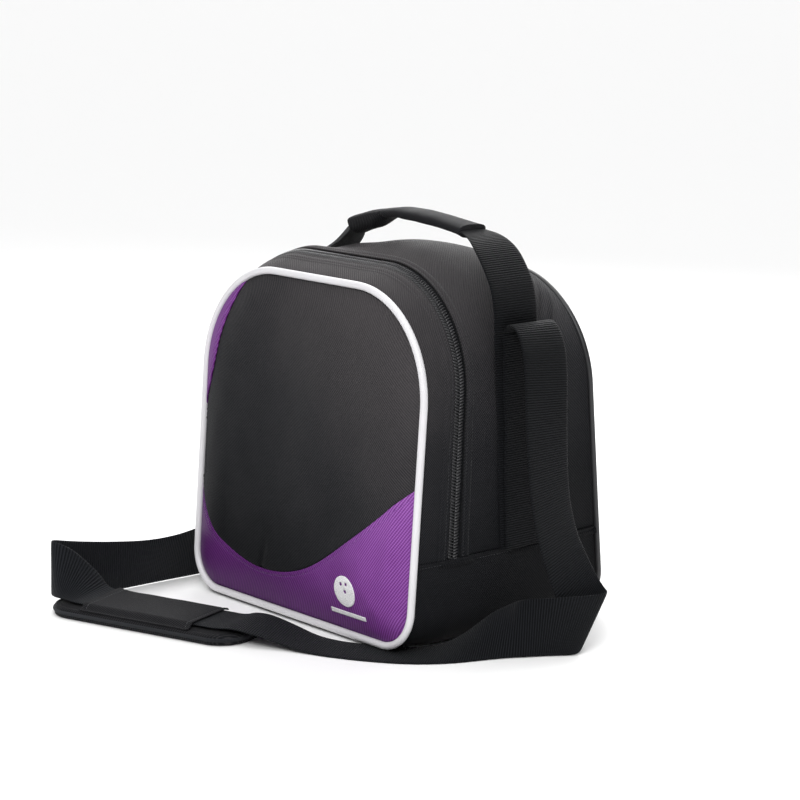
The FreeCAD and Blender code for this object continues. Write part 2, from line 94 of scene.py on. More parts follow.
def thick_sheet(name, grid, thick, uvs, flip=False):
    """A closed sheet: the grid is its outer face and the inner face lies thick millimetres inside it."""
    rows, columns = len(grid), len(grid[0])
    outer = [Vector(p) for row in grid for p in row]
    faces = grid_faces(rows, columns, flip)
    mesh = bpy.data.meshes.new("normals")
    mesh.from_pydata(outer, [], faces)
    normals = [v.normal.copy() for v in mesh.vertices]
    bpy.data.meshes.remove(mesh)
    count = len(outer)
    inner = [p - n * thick for p, n in zip(outer, normals)]
    all_faces = faces + [tuple(i + count for i in face[::-1]) for face in faces]
    rim = list(range(columns))
    rim += [r * columns + columns - 1 for r in range(1, rows)]
    rim += [(rows - 1) * columns + c for c in range(columns - 2, -1, -1)]
    rim += [r * columns for r in range(rows - 2, 0, -1)]
    for a, b in zip(rim, rim[1:] + rim[:1]):
        face = (a, b, b + count, a + count)
        all_faces.append(face if not flip else face[::-1])
    flat = [uv for row in uvs for uv in row]
    return new_piece(name, outer + inner, all_faces, flat + flat)


def circle(sides):
    angles = [2 * math.pi * k / sides for k in range(sides)]
    return [(math.cos(angle), math.sin(angle)) for angle in angles]


def closed_cord(name, line, radius, sides):
    """A round cord along a closed line."""
    count = len(line)
    points, uvs = [], []
    up = Vector((0, 1, 0))
    length = 0.0
    for i, p in enumerate(line):
        tangent = (line[(i + 1) % count] - line[i - 1]).normalized()
        side = tangent.cross(up)
        side = side.normalized() if side.length > 1e-4 else Vector((1, 0, 0))
        up = side.cross(tangent).normalized()
        if i:
            length += (p - line[i - 1]).length
        for k, (c, s) in enumerate(circle(sides)):
            points.append(p + (side * c + up * s) * radius)
            uvs.append((length * MM, k / sides * 2 * math.pi * radius * MM))
    return new_piece(name, points, ring_faces(count, sides, closed=True), uvs)


STITCH_PITCH, STITCH_LENGTH, STITCH_SIDES = 3.1, 2.3, 5
STITCH_RINGS = ((-1.0, 0.25), (-0.6, 1.0), (0.6, 1.0), (1.0, 0.25))


def stitches(name, line, normals, radius):
    """A row of thread stitches lying on a surface along a line."""
    points, faces = [], []
    travelled, target = 0.0, STITCH_PITCH / 2
    for start, end, normal in zip(line, line[1:], normals):
        step = (end - start).length
        while step > 0 and travelled + step >= target:
            centre = start.lerp(end, (target - travelled) / step)
            along = (end - start).normalized()
            side = along.cross(normal).normalized()
            faces += ring_faces(len(STITCH_RINGS), STITCH_SIDES, offset=len(points))
            for reach, size in STITCH_RINGS:
                for c, s in circle(STITCH_SIDES):
                    lift = normal * (s * radius * size + 0.06 - 0.18 * abs(reach))
                    sway = side * c * radius * size
                    points.append(centre + along * reach * STITCH_LENGTH / 2 + lift + sway)
            target += STITCH_PITCH
        travelled += step
    return new_piece(name, points, faces)


def smooth_noise(x, y, z, size, seed=0.0):
    """Slow waves of about this size in millimetres; the seed picks another place in the noise."""
    return noise.noise(Vector((x / size + seed, y / size - seed, z / size + 2 * seed)))


def bell(value, centre, width):
    return math.exp(-(((value - centre) / width) ** 2))


def ease(share):
    share = min(1.0, max(0.0, share))
    return share * share * (3 - 2 * share)


# ---- the shell's surface

# Millimetres. The seams are rounded outlines of HALF_WIDTH and FRONT_TOP that lean back by LEAN at
# the top; half way between them the shell is wider by BULGE and higher by CROWN. SEAM is the raised
# base seam's height and ZIPPER the zipper's setback from the front seam.
HALF_WIDTH, BULGE = 152.0, 6.0
FRONT_TOP, CROWN = 308.0, 25.0
HALF_DEPTH, LEAN = 115.0, 25.0
SHOULDER, SHOULDER_SPREAD, FOOT, FOOT_LIFT = 95.0, 20.0, 35.0, 6.0
SEAM, ZIPPER = 81.5, 43.0
PIPE = 3.3


def outline_sizes(setback, inset):
    front = min(setback, 2 * HALF_DEPTH - setback)
    share = front / HALF_DEPTH
    swell = math.sin(share * math.pi / 2)
    half = HALF_WIDTH + BULGE * swell - inset
    top = FRONT_TOP + CROWN * swell - inset
    low = FOOT_LIFT * (1 - min(1.0, front / ZIPPER)) + inset
    shoulder = SHOULDER + SHOULDER_SPREAD * swell**2 - inset
    foot = max(FOOT - inset, 10.0)
    return half, top, low, shoulder, foot


def place(x, height, setback):
    """A point of the leaning outline plane at this setback."""
    front = min(setback, 2 * HALF_DEPTH - setback)
    tilt = math.atan2(LEAN * (1 - front / HALF_DEPTH), FRONT_TOP)
    y = front - HALF_DEPTH + height * math.sin(tilt)
    return Vector((x, y if setback <= HALF_DEPTH else -y, height * math.cos(tilt)))


def arc(cx, cz, radius, start, end, count):
    points = []
    for i in range(count):
        angle = math.radians(start + (end - start) * i / count)
        points.append((cx + radius * math.cos(angle), cz + radius * math.sin(angle)))
    return points


def straight(x0, z0, x1, z1, count):
    return [(x0 + (x1 - x0) * i / count, z0 + (z1 - z0) * i / count) for i in range(count)]


def upper_outline(setback, inset, fine):
    """(x, height) pairs from the right base seam over the top to the left base seam."""
    half, top, _, shoulder, _ = outline_sizes(setback, inset)
    side_top = top - shoulder
    pairs = straight(half, SEAM, half, side_top, 26 * fine)
    pairs += arc(half - shoulder, side_top, shoulder, 0, 90, 26 * fine)
    pairs += straight(half - shoulder, top, shoulder - half, top, 22 * fine)
    pairs += arc(shoulder - half, side_top, shoulder, 90, 180, 26 * fine)
    pairs += straight(-half, side_top, -half, SEAM, 26 * fine)
    return pairs + [(-half, SEAM)]


def lower_outline(setback, inset, fine):
    """(x, height) pairs from the left base seam under the base to the right base seam."""
    half, _, low, _, foot = outline_sizes(setback, inset)
    pairs = straight(-half, SEAM, -half, low + foot, 12 * fine)
    pairs += arc(foot - half, low + foot, foot, 180, 270, 14 * fine)
    pairs += straight(foot - half, low, half - foot, low, 26 * fine)
    pairs += arc(half - foot, low + foot, foot, 270, 360, 14 * fine)
    pairs += straight(half, low + foot, half, SEAM, 12 * fine)
    return pairs + [(half, SEAM)]


def full_outline(inset, fine):
    """The whole closed outline of the front seam."""
    return upper_outline(0.0, inset, fine)[:-1] + lower_outline(0.0, inset, fine)[:-1]


def step_at(line, i):
    """The step between the neighbours of a point of an open line."""
    return line[min(i + 1, len(line) - 1)] - line[max(i - 1, 0)]


def lengths_along(points):
    run, out = 0.0, []
    for i, p in enumerate(points):
        if i:
            run += (Vector(p) - Vector(points[i - 1])).length
        out.append(run)
    return out


def raised(pairs, rises):
    """Outline pairs moved outwards, each by its own rise."""
    moved = []
    for i, (x, z) in enumerate(pairs):
        ahead, behind = pairs[min(i + 1, len(pairs) - 1)], pairs[max(i - 1, 0)]
        dx, dz = ahead[0] - behind[0], ahead[1] - behind[1]
        size = math.hypot(dx, dz) or 1.0
        moved.append((x + dz / size * rises[i], z - dx / size * rises[i]))
    return moved


def shell_row(pairs_at, setback, rise_at, fine=3):
    """The shell's outline at one setback, each point moved outwards by its rise."""
    pairs = pairs_at(setback, 0.0, fine)
    rises = [rise_at(setback, x, height) for x, height in pairs]
    return [place(x, z, setback) for x, z in raised(pairs, rises)]


def shell_sheet(name, pairs_at, setbacks, rise_at, thick, fine):
    """A closed sheet round the shell: rows along the outline, columns from front to rear."""
    columns = [shell_row(pairs_at, setback, rise_at, fine) for setback in setbacks]
    along = lengths_along(columns[len(columns) // 2])
    uvs = [[(run * MM, setback * MM) for setback in setbacks] for run in along]
    return thick_sheet(name, list(zip(*columns)), thick, uvs, flip=True)


def spread(start, end, count):
    return [start + (end - start) * i / (count - 1) for i in range(count)]


def rounded_depth(x, height):
    """How far a point of the front seam's plane lies inside the outline."""
    half, top, low, shoulder, foot = outline_sizes(0.0, 0.0)
    depth = min(half - abs(x), top - height, height - low)
    for radius, centre, outside in (
        (shoulder, top - shoulder, height > top - shoulder),
        (foot, low + foot, height < low + foot),
    ):
        if outside and abs(x) > half - radius:
            depth = radius - math.hypot(abs(x) - (half - radius), height - centre)
    return depth


def smooth_curve(knots, count):
    """Catmull-Rom points through 2-D knots."""
    before = tuple(2 * a - b for a, b in zip(knots[0], knots[1]))
    after = tuple(2 * a - b for a, b in zip(knots[-1], knots[-2]))
    chain = [before, *knots, after]
    points = []
    for i in range(count):
        t = i / (count - 1) * (len(knots) - 1)
        k = min(int(t), len(knots) - 2)
        t -= k
        points.append(tuple(
            0.5 * (2 * b + (c - a) * t + (2 * a - 5 * b + 4 * c - d) * t * t
                   + (3 * b - 3 * c + d - a) * t**3)
            for a, b, c, d in zip(*chain[k : k + 4])
        ))
    return points


def even_steps(runs, count):
    """Evenly spaced stations on a measured line: the point before, the share past it, the run."""
    k = 0
    for i in range(count):
        target = runs[-1] * i / (count - 1)
        while k < len(runs) - 2 and runs[k + 1] < target:
            k += 1
        yield k, (target - runs[k]) / ((runs[k + 1] - runs[k]) or 1.0), target


def resample(points, count):
    runs = lengths_along([Vector((p[0], 0, p[1])) for p in points])
    return [tuple(a + (b - a) * t for a, b in zip(points[k], points[k + 1]))
            for k, t, _ in even_steps(runs, count)]


# ---- materials


def feed(tree, node, sockets):
    """Sets or links a node's inputs, by name or number."""
    for key, value in sockets.items():
        if isinstance(value, bpy.types.NodeSocket):
            tree.links.new(value, node.inputs[key])
        else:
            node.inputs[key].default_value = value


def add_node(tree, kind, sockets):
    node = tree.nodes.new("ShaderNode" + kind)
    feed(tree, node, sockets)
    return node


def node_material(name, base, roughness, sheen=0.0, specular=0.5):
    material = bpy.data.materials.new(name)
    material.use_nodes = True
    tree = material.node_tree
    shader = tree.nodes["Principled BSDF"]
    feed(tree, shader, {"Base Color": (*base, 1), "Roughness": roughness, "Sheen Weight": sheen,
                        "Sheen Roughness": 0.45, "Specular IOR Level": specular})
    return material, tree, shader


def math_node(tree, operation, a, b=0.0):
    node = add_node(tree, "Math", {0: a, 1: b})
    node.operation = operation
    return node.outputs[0]


def times(tree, a, b):
    return math_node(tree, "MULTIPLY", a, b)


def total(tree, first, *others):
    for other in others:
        first = math_node(tree, "ADD", first, other)
    return first


def parts(tree, vector):
    return add_node(tree, "SeparateXYZ", {0: vector}).outputs


def uv_axes(tree, turn=0.0):
    """The u and v of the surface in metres, turned by an angle in degrees."""
    uv = tree.nodes.new("ShaderNodeUVMap")
    uv.uv_map = "UVMap"
    rotate = add_node(tree, "VectorRotate", {"Angle": math.radians(turn), "Vector": uv.outputs[0]})
    rotate.rotation_type = "Z_AXIS"
    u, v, _ = parts(tree, rotate.outputs[0])
    return uv.outputs[0], u, v


def wave(tree, coordinate, pitch, phase=None):
    """A cosine of a coordinate in metres, from 0 to 1, once per pitch in metres."""
    turned = times(tree, coordinate, 2 * math.pi / pitch)
    if phase is not None:
        turned = total(tree, turned, phase)
    return times(tree, total(tree, math_node(tree, "COSINE", turned), 1.0), 0.5)


def noise_value(tree, vector, scale, detail):
    sockets = {"Vector": vector, "Scale": scale, "Detail": detail, "Roughness": 0.55}
    return add_node(tree, "TexNoise", sockets).outputs["Fac"]


def ramp(tree, factor, stops):
    node = tree.nodes.new("ShaderNodeValToRGB")
    while len(node.color_ramp.elements) < len(stops):
        node.color_ramp.elements.new(0.5)
    for element, (position, color) in zip(node.color_ramp.elements, stops):
        element.position = position
        element.color = (*color, 1)
    tree.links.new(factor, node.inputs[0])
    return node.outputs[0]


def bump(tree, height, distance, strength, below=None):
    """A bumped normal; distance is in metres, and below is a normal to bump on top of."""
    sockets = {"Strength": strength, "Distance": distance, "Height": height}
    if below is not None:
        sockets["Normal"] = below
    return add_node(tree, "Bump", sockets).outputs[0]


def object_coordinates(tree):
    return tree.nodes.new("ShaderNodeTexCoord").outputs["Object"]


def scaled(color, factor):
    return tuple(min(1.0, c * factor) for c in color)


# Painted light and shade: the height at which the painted slopes of tone leave the tone unchanged.
PAINTED_LIGHT_PIVOT = 0.15


def painted_light_slope(tree, across, backwards, upwards):
    """Painted light and shade: a slow change of tone over the bag, per metre along each of its own axes."""
    x, y, z = parts(tree, object_coordinates(tree))
    above = math_node(tree, "SUBTRACT", z, PAINTED_LIGHT_PIVOT)
    return total(tree, times(tree, x, across), times(tree, y, backwards), times(tree, above, upwards))


# The palest tone of black polyester: pale yarns, and the painted sheen of the upper surfaces where the
# painted slopes of tone lift it.
PALE_YARN_AND_PAINTED_SHEEN = (0.056, 0.0515, 0.0535)


def plain_weave(name, base, pitch=0.0019, turn=45.0, painted_slopes=(0.0, 0.0, 0.0)):
    """Woven polyester: slanted yarns over a fine grid, slubs, slow wear in colour and gloss, and painted
    light: slopes of tone over the bag rising into a pale painted sheen.
    """
    material, tree, shader = node_material(name, base, 0.58, sheen=0.03, specular=0.05)
    _, u, v = uv_axes(tree, turn)
    cross = times(tree, wave(tree, u, pitch / 2), wave(tree, v, pitch / 2))
    weave = total(tree, wave(tree, u, pitch), times(tree, cross, 0.5))
    place_at = object_coordinates(tree)
    fine, slow = noise_value(tree, place_at, 900, 2), noise_value(tree, place_at, 14, 4)
    # painted light: the tone climbs with the painted slopes towards the pale painted sheen at the ramp's
    # top
    tone = total(tree, times(tree, weave, 0.34), times(tree, fine, 0.3), times(tree, slow, 0.3),
                 painted_light_slope(tree, *painted_slopes))
    color = ramp(tree, tone, ((0.1, scaled(base, 0.35)), (0.5, base), (1.0, PALE_YARN_AND_PAINTED_SHEEN)))
    soft = bump(tree, noise_value(tree, place_at, 60, 4), 0.0006, 0.35)
    rough = total(tree, times(tree, slow, 0.22), 0.47)
    normal = bump(tree, weave, 0.00028, 0.9, soft)
    feed(tree, shader, {"Base Color": color, "Normal": normal, "Roughness": rough})
    return material


def satin_weave(name, base):
    """Satin-faced polyester: slanted floats, a soft gloss and faint creases, painted lighter to the right
    and upwards into a pale painted highlight.
    """
    pitch = 0.0020
    material, tree, shader = node_material(name, base, 0.40, specular=0.05)
    _, u, v = uv_axes(tree, 32.0)
    weave = total(tree, wave(tree, u, pitch), times(tree, wave(tree, v, pitch * 0.9), 0.3))
    place_at = object_coordinates(tree)
    slow = noise_value(tree, place_at, 16, 3)
    # painted light: tone lifted to the right and upwards, towards a pale painted highlight
    tone = total(tree, times(tree, weave, 0.38), times(tree, slow, 0.3), painted_light_slope(tree, 1.4, 0.0, 1.6))
    painted_highlight = tuple(2.0 * part + 0.09 for part in base)
    color = ramp(tree, tone, ((0.0, scaled(base, 0.4)), (0.4, base), (0.9, painted_highlight)))
    soft = bump(tree, noise_value(tree, place_at, 45, 4), 0.0008, 0.35)
    rough = total(tree, times(tree, slow, 0.16), 0.33)
    normal = bump(tree, weave, 0.00022, 0.8, soft)
    feed(tree, shader, {"Base Color": color, "Normal": normal, "Roughness": rough})
    return material


def ribbed_webbing(name, base, pitch=0.0021, ribs=1.0):
    """Webbing: cross ribs along u, with warp yarns between the ribs along v, painted darker to the right
    and upwards as painted shade.
    """
    material, tree, shader = node_material(name, base, 0.55, sheen=0.04, specular=0.05)
    vector, u, v = uv_axes(tree)
    wobble = times(tree, noise_value(tree, vector, 260, 2), 1.1)
    rib = math_node(tree, "POWER", wave(tree, u, pitch, wobble), 0.6)
    split = times(tree, wave(tree, v, 0.0011), rib)
    weave = total(tree, rib, times(tree, split, 0.35))
    fine = noise_value(tree, vector, 2400, 2)
    slow = noise_value(tree, object_coordinates(tree), 18, 3)
    # painted shade: tone slopes darker to the right and upwards
    tone = total(tree, times(tree, weave, 0.55 * ribs), times(tree, fine, 0.3),
                 times(tree, slow, 0.2), painted_light_slope(tree, -0.9, 0.0, -0.9))
    color = ramp(tree, tone, ((0.15, scaled(base, 0.3)), (0.55, base), (1.0, scaled(base, 2.1))))
    feed(tree, shader, {"Base Color": color, "Normal": bump(tree, weave, 0.0006, 0.9)})
    return material


def grained(name, base, roughness, grain, relief, clouds, tones, sharper):
    """Vinyl, plastic, foam or enamel: a fine grain and a slow change of tone and gloss."""
    material, tree, shader = node_material(name, base, roughness)
    place_at = object_coordinates(tree)
    grains, slow = noise_value(tree, place_at, grain, 3), noise_value(tree, place_at, clouds, 3)
    color = ramp(tree, slow, tuple((at, scaled(base, factor)) for at, factor in tones))
    rough = total(tree, times(tree, slow, 0.2), roughness - sharper)
    feed(tree, shader, {"Base Color": color, "Normal": bump(tree, grains, *relief), "Roughness": rough})
    return material


def smooth_vinyl(name, base, roughness=0.32):
    return grained(name, base, roughness, 420, (0.0002, 0.4), 22, ((0.25, 0.93), (0.7, 1.0)), 0.08)


def thread(name, base, roughness=0.5):
    """Sewing thread: a fine twist in tone and relief."""
    material, tree, shader = node_material(name, base, roughness, sheen=0.3)
    twist = noise_value(tree, object_coordinates(tree), 1800, 2)
    color = ramp(tree, twist, ((0.3, scaled(base, 0.6)), (0.7, scaled(base, 1.25))))
    feed(tree, shader, {"Base Color": color, "Normal": bump(tree, twist, 0.0002, 0.6)})
    return material


def moulded(name, base, roughness, grain=700):
    return grained(name, base, roughness, grain, (0.0003, 0.5), 30, ((0.3, 0.75), (0.7, 1.3)), 0.1)


BLACK = (0.0105, 0.0113, 0.0135)
# painted light and shade: gussets and base painted darker to the right and rear and lighter upwards, the
# front panel lighter to the right and upwards; the pad has none
black_fabric = plain_weave("black_polyester", BLACK, painted_slopes=(-0.6, -1.5, 2.2))
panel_fabric = plain_weave("black_panel_polyester", BLACK, turn=-45.0, painted_slopes=(1.6, 0.0, 2.2))
pad_fabric = plain_weave("pad_polyester", scaled(BLACK, 0.8), pitch=0.0017)
purple_fabric = satin_weave("purple_satin", (0.150, 0.033, 0.208))
webbing = ribbed_webbing("black_webbing", (0.0068, 0.0074, 0.0088))
binding_tape = ribbed_webbing("binding_tape", (0.018, 0.019, 0.022), pitch=0.0012, ribs=0.7)
zipper_tape = ribbed_webbing("zipper_tape", (0.014, 0.015, 0.018), pitch=0.0010, ribs=0.7)
white_vinyl = smooth_vinyl("white_piping", (0.70, 0.69, 0.71))
black_vinyl = smooth_vinyl("black_piping", (0.02, 0.02, 0.022), 0.4)
black_thread = thread("black_thread", (0.03, 0.031, 0.036))
purple_thread = thread("purple_thread", (0.13, 0.03, 0.2))
white_thread = thread("white_thread", (0.8, 0.8, 0.83), 0.42)
coil_plastic = moulded("zipper_coil", (0.022, 0.022, 0.024), 0.3)
enamel = moulded("black_enamel", (0.016, 0.016, 0.018), 0.3, grain=900)
board_plastic = moulded("base_board", (0.03, 0.03, 0.032), 0.6)
cup_foam = moulded("cup_foam", (0.03, 0.03, 0.033), 0.8, grain=1200)


def finish_piece(piece, material, body, slot, *nodes):
    """Gives a piece its material and its body, and hides the CAD parts named by nodes; the bodies fold and
    handle_bend are not attached, only baked in place. The slot is not used.
    """
    piece.data.materials.clear()
    piece.data.materials.append(material)
    if body == "fold":
        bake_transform(piece)
    elif body == "handle_bend":
        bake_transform(piece)
    else:
        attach(piece, body)
    if nodes:
        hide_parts(*nodes)


# ---- front panel and its accents

# Edges of the purple accents as (x, height), the dome of both panels, their fabric's thickness
# and the height of the middle that angles are seen from.
LOWER_ACCENT = [(-152, 104), (-128, 75), (-98, 55), (-40, 43), (24, 56), (95, 101), (152, 149)]
UPPER_ACCENT = [(-152, 168), (-130, 210), (-119, 248), (-104, 285), (-93, 308)]
DOME = 13.0
PANEL_THICK = 1.4
PANEL_INSET = PIPE - 0.6
PANEL_MIDDLE = 150


def to_outline(x, height, inset):
    """Pulls a point inwards until it lies at least inset inside the outline."""
    for _ in range(6):
        depth = rounded_depth(x, height)
        if depth >= inset:
            break
        size = math.hypot(x, height - PANEL_MIDDLE) or 1.0
        x -= x / size * (inset - depth)
        height -= (height - PANEL_MIDDLE) / size * (inset - depth)
    return x, height


def slow_form(x, height):
    """Slow swellings of a panel: full at the lower right, hollow towards the lower left."""
    form = 5.0 * bell(x, 96, 40) * bell(height, 68, 40)
    form -= 3.0 * bell(x, -96, 46) * bell(height, 66, 48)
    return form + 2.0 * bell(x, 40, 70) * bell(height, 205, 60)


def panel_rise(x, height):
    depth = max(0.0, rounded_depth(x, height) - PIPE)
    share = min(1.0, depth / 50.0)
    rise = DOME * (1 - (1 - share) ** 2.3)
    rise += 0.9 * smooth_noise(x, 0, height, 90.0, 3.1) * share
    rise += 0.25 * smooth_noise(x, 0, height, 24.0, 8.7) * share
    rise += slow_form(x, height) * share
    return rise - 1.2 * math.exp(-depth / 1.6)


def curve_distance(x, height, curve):
    return min(math.hypot(x - a, height - b) for a, b in curve)


def on_panel(x, height, extra):
    point = place(x, height, 0.0)
    point.y -= panel_rise(x, height) + extra(x, height)
    return point


def panel_piece(name, low_edge, high_edge, rows, columns, extra, rear=False):
    """A closed sheet between two edges of the panel's plane, domed outwards."""
    low_edge, high_edge = resample(low_edge, columns), resample(high_edge, columns)
    grid, uvs = [], []
    for share in spread(0.0, 1.0, rows):
        row, uv_row = [], []
        for (x0, z0), (x1, z1) in zip(low_edge, high_edge):
            x, height = to_outline(x0 + (x1 - x0) * share, z0 + (z1 - z0) * share, PANEL_INSET)
            point = on_panel(x, height, extra)
            row.append(Vector((point.x, -point.y, point.z)) if rear else point)
            uv_row.append((x * MM, height * MM))
        grid.append(row)
        uvs.append(uv_row)
    return thick_sheet(name, grid, PANEL_THICK, uvs, flip=not rear)


def angle_of(x, height):
    """Degrees from +X upwards, seen from the panel's middle."""
    return math.degrees(math.atan2(height - PANEL_MIDDLE, x)) % 360


def outline_run(first, last):
    """240 outline pairs between two such angles."""
    chosen = []
    for pair in full_outline(PANEL_INSET, fine=3):
        turned = (angle_of(*pair) - first) % 360
        if turned <= (last - first) % 360:
            chosen.append((turned, pair))
    chosen.sort()
    return resample([pair for _, pair in chosen], 240)


lower_curve = smooth_curve(LOWER_ACCENT, 160)
upper_curve = smooth_curve(UPPER_ACCENT, 80)
left_low, right_low = angle_of(-149, 104), angle_of(149, 147)
left_up, top_up = angle_of(-149, 168), angle_of(-93, 304)


def hem_dip(distance, depth=0.9):
    return -depth * math.exp(-((distance / 1.3) ** 2))


def black_extra(x, height):
    """The centre panel: dips at its hems, slow waves, and a crease below its middle."""
    low = curve_distance(x, height, lower_curve)
    high = curve_distance(x, height, upper_curve)
    rise = hem_dip(low) + hem_dip(high)
    crease = bell(x, -38 + (height - 60) * 0.25, 3.0) * ease((78 - height) / 26)
    waves = 1.5 * smooth_noise(x, 0.0, height * 0.7, 58.0, 3.0)
    waves += 0.5 * smooth_noise(x, 0.0, height, 24.0, 8.0)
    return rise - 1.3 * crease + waves * ease(min(low, high, rounded_depth(x, height)) / 30)


def lower_extra(x, height):
    """The lower accent: puckers and stitches at its hem, a fold and wrinkles in its right corner."""
    distance = curve_distance(x, height, lower_curve)
    pucker = math.sin(x * 1.15 + 2.0 * smooth_noise(x, 0, height, 7.0)) * bell(distance, 2.2, 2.0)
    stitch_line = -0.45 * bell(distance, 4.4, 0.8)
    fold = 1.5 * bell(x, 128 + (height - 80) * 0.06, 7.0) * ease((height - 30) / 50)
    corner = 1.1 * smooth_noise(x, 0, height, 11.0, 5.0)
    corner *= bell(math.hypot(x - 128, height - 34), 0, 26)
    return hem_dip(distance, 0.5) + 0.16 * pucker + stitch_line + fold + corner


def upper_extra(x, height):
    distance = curve_distance(x, height, upper_curve)
    return hem_dip(distance, 0.5) - 0.35 * bell(distance, 4.0, 0.8)


black_top = outline_run(left_up, left_low)[::-1] + upper_curve + outline_run(right_low, top_up)[::-1]
lower_piece = panel_piece("accent_lower_fabric", outline_run(left_low, right_low), lower_curve,
                          60, 260, lower_extra)
finish_piece(lower_piece, purple_fabric, "fold", "purple_fabric", "lower_accent", "accent_wings")
black_piece = panel_piece("front_panel_fabric", lower_curve, black_top, 150, 220, black_extra)
finish_piece(black_piece, panel_fabric, "fold", "black_fabric", "front_panel", "front_panel_foot")
upper_piece = panel_piece("accent_upper_fabric", outline_run(top_up, left_up)[::-1], upper_curve,
                          26, 120, upper_extra)
finish_piece(upper_piece, purple_fabric, "front_flap", "purple_fabric", "upper_accent")


def panel_normal(x, height, extra):
    across = on_panel(x + 1, height, extra) - on_panel(x - 1, height, extra)
    upwards = on_panel(x, height + 1, extra) - on_panel(x, height - 1, extra)
    return across.cross(upwards).normalized()


def panel_stitches(name, curve, aside, extra, body):
    """Purple stitches beside an accent's hem."""
    curve = raised(curve, [aside] * len(curve))
    curve = [pair for pair in curve if rounded_depth(*pair) > PIPE + 1.0]
    line = [on_panel(x, z, extra) for x, z in curve]
    normals = [panel_normal(x, z, extra) for x, z in curve]
    finish_piece(stitches(name, line, normals, 0.24), purple_thread, body, "purple_fabric")


panel_stitches("accent_lower_stitches", smooth_curve(LOWER_ACCENT, 600), 4.4, lower_extra, "fold")
panel_stitches("accent_upper_stitches", smooth_curve(UPPER_ACCENT, 300), -4.0, upper_extra, "front_flap")

# ---- rear panel


def no_extra(x, height):
    return 0.0


rear_piece = panel_piece("rear_panel_fabric", outline_run(180, 0), outline_run(0, 180)[::-1],
                         120, 200, no_extra, rear=True)
finish_piece(rear_piece, panel_fabric, "bag", "black_fabric", "rear_panel")

# ---- piping


def piping_line(side):
    line = [place(x, z, 0.0) for x, z in full_outline(0.0, fine=2)]
    return [Vector((p.x, side * p.y, p.z)) for p in line]


front_pipe = closed_cord("front_piping_cord", piping_line(1), PIPE, 14)
finish_piece(front_pipe, white_vinyl, "fold", "white_piping", "front_piping", "front_piping_foot")
rear_pipe = closed_cord("rear_piping_cord", piping_line(-1), PIPE * 0.8, 12)
finish_piece(rear_pipe, black_vinyl, "bag", "black_piping", "rear_piping")

# ---- gussets and base

HEM_FRONT, HEM_REAR, REAR_END = 36.5, 52.0, 2 * HALF_DEPTH - 2.0


def front_rise(setback, x, height):
    across = (setback - PIPE) / (HEM_FRONT - PIPE)
    rise = 0.9 * math.sin(math.pi * min(1.0, max(0.0, across)))
    rise -= 1.6 * math.exp(-(setback - PIPE) / 1.6)
    rise += 0.9 * ease((setback - HEM_FRONT + 12) / 1.5) - 0.7 * bell(setback, HEM_FRONT - 9.5, 1.1)
    rise -= 0.6 * bell(setback, HEM_FRONT - 2.8, 1.0)
    rise += 0.5 * smooth_noise(x, setback, height, 34.0, 1.3)
    rise += 0.12 * smooth_noise(x, setback, height, 8.0, 6.0) * bell(setback, HEM_FRONT - 6, 8)
    return rise


def wrinkle(setback, height, centre, slope, width, reach):
    """A long soft fold that crosses the gusset at a slant."""
    offset = (height - centre[1]) - slope * (setback - centre[0])
    length = math.hypot(setback - centre[0], height - centre[1])
    return bell(offset, 0, width) * bell(length, 0, reach)


def crown_sag(x, setback):
    """The soft crown drops towards the left, where the handle's end rests on it."""
    across = ease((20 - x) / 75) * ease((x + 152) / 62)
    return 9.0 * across * ease((setback - 50) / 42) * ease((226 - setback) / 50)


def rear_rise(setback, x, height):
    after = setback - HEM_REAR
    rise = 0.9 * ease((10.5 - after) / 1.5) - 0.6 * bell(after, 2.6, 1.0) - 0.7 * bell(after, 9.0, 1.1)
    middle = bell(setback, 165, 45)
    rise += 2.2 * middle * ease((height - 100) / 120)
    rise -= 1.4 * math.exp((setback - REAR_END) / 1.6)
    rise += 1.1 * smooth_noise(x, setback, height, 46.0, 2.2) * ease(after / 12)
    loose = ease((setback - 150) / 20) * ease((height - 225) / 40)
    folds = wrinkle(setback, height, (180, 296), 0.55, 3.6, 34)
    folds += 0.8 * wrinkle(setback, height, (190, 276), 0.8, 3.2, 30)
    folds -= 0.7 * wrinkle(setback, height, (184, 286), 0.65, 3.0, 32)
    rise += 3.8 * folds * loose
    if height > 200:
        rise -= crown_sag(x, setback)
    return rise


front_gusset = shell_sheet("front_gusset_fabric", upper_outline, spread(PIPE + 0.3, HEM_FRONT, 34),
                           front_rise, 2.0, fine=3)
finish_piece(front_gusset, black_fabric, "front_flap", "black_fabric", "front_gusset")
rear_columns = spread(HEM_REAR, HEM_REAR + 12, 14) + spread(HEM_REAR + 14, REAR_END, 58)
rear_gusset = shell_sheet("rear_gusset_fabric", upper_outline, rear_columns, rear_rise, 2.0, fine=3)
finish_piece(rear_gusset, black_fabric, "bag", "black_fabric", "rear_gusset")


def base_rise(setback, x, height):
    below = SEAM - height
    rise = 1.5 * math.exp(-((below / 2.0) ** 2)) - 0.35 * bell(below, 3.6, 0.7)
    rise -= 1.6 * math.exp(-(setback - PIPE) / 1.6) + 1.4 * math.exp((setback - REAR_END) / 1.6)
    standing = ease((height - 16) / 22)
    rise += 0.8 * smooth_noise(x, setback, height, 38.0, 4.4) * standing
    slant = height - 62 + (setback - 6) * 1.9
    rise += 0.9 * bell(slant, 0, 5) * bell(setback, 14, 12) * standing
    slant = height - 44 + (setback - 6) * 1.6
    rise -= 0.7 * bell(slant, 0, 5) * bell(setback, 12, 12) * standing
    return rise


